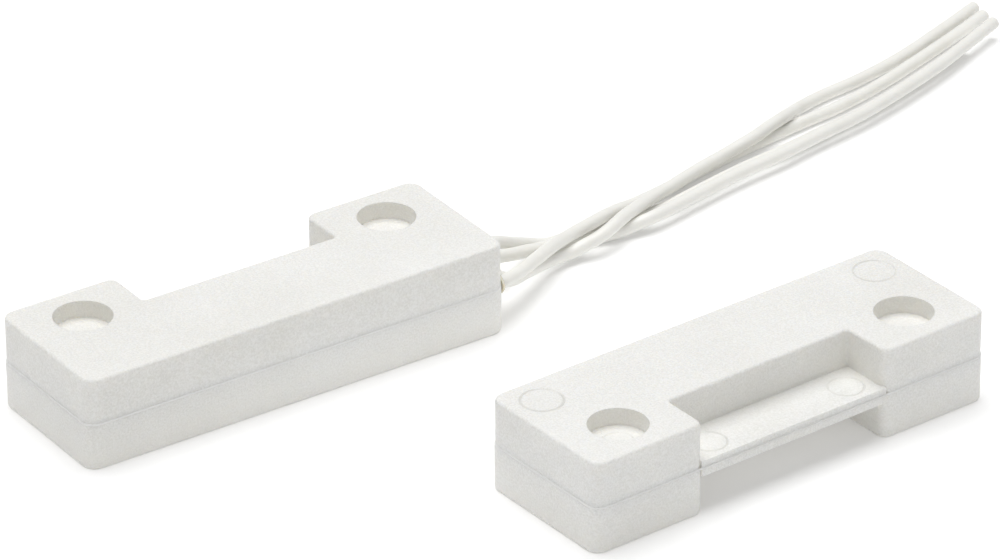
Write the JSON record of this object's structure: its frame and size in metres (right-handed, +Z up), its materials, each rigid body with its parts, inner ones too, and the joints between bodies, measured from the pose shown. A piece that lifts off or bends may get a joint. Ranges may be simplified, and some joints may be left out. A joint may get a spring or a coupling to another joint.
{
  "type": "magnetic door contact",
  "caption": "Surface-mount magnetic door contact: a U-shaped reed switch unit with free leads and a matching U-shaped magnet unit, shown lying apart.",
  "frame": {"origin": "centre of the switch unit's flat underside, between its two screw columns", "axes": "+X along the switch unit's length towards the end that the leads leave, +Y across it from its flat side, which faces the magnet unit, to its notch, +Z up out of the mounting surface"},
  "size_m": [0.1619, 0.0869, 0.0122],
  "materials": {
    "housing": "satin",
    "insulation": "satin",
    "glue": "gloss",
    "glass": "gloss",
    "reed": "satin",
    "solder": "satin",
    "conductor": "satin",
    "sleeve": "satin",
    "magnet": "matte",
    "pad": "matte"
  },
  "bodies": {
    "switch": {"switch_base": "housing", "switch_cover": "housing", "reed_glass": "glass", "solder_left": "solder", "solder_right": "solder", "tamper_joint": "solder", "tamper_sleeve": "sleeve", "glue_front": "glue", "glue_rear": "glue", "lead_1": "insulation", "lead_2": "insulation", "lead_3": "insulation", "lead_4": "insulation", "lead_1_tail": "insulation", "lead_2_tail": "insulation", "lead_3_tail": "insulation", "lead_4_tail": "insulation", "conductor_1": "conductor", "conductor_2": "conductor", "conductor_3": "conductor", "conductor_4": "conductor"},
    "blade_left": {"reed_blade_left": "reed"},
    "blade_right": {"reed_blade_right": "reed"},
    "magnet": {"magnet_base": "housing", "magnet_cover": "housing", "bar_magnet": "magnet", "magnet_pad": "pad"}
  },
  "joints": [
    {"name": "blade_left_flex", "type": "hinge", "parent": "switch", "child": "blade_left", "pos_m": [-0.0062, -0.005, 0.005], "axis": [0, -1, 0], "range_deg": [0, 1.1], "stiffness_Nm_per_rad": 0.01},
    {"name": "blade_right_flex", "type": "hinge", "parent": "switch", "child": "blade_right", "pos_m": [0.0062, -0.005, 0.005], "axis": [0, -1, 0], "range_deg": [0, 1.1], "stiffness_Nm_per_rad": 0.01},
    {"name": "magnet_travel", "type": "slide", "parent": "switch", "child": "magnet", "axis": [0, 1, 0], "range_m": [-0.04, 0.02]}
  ]
}
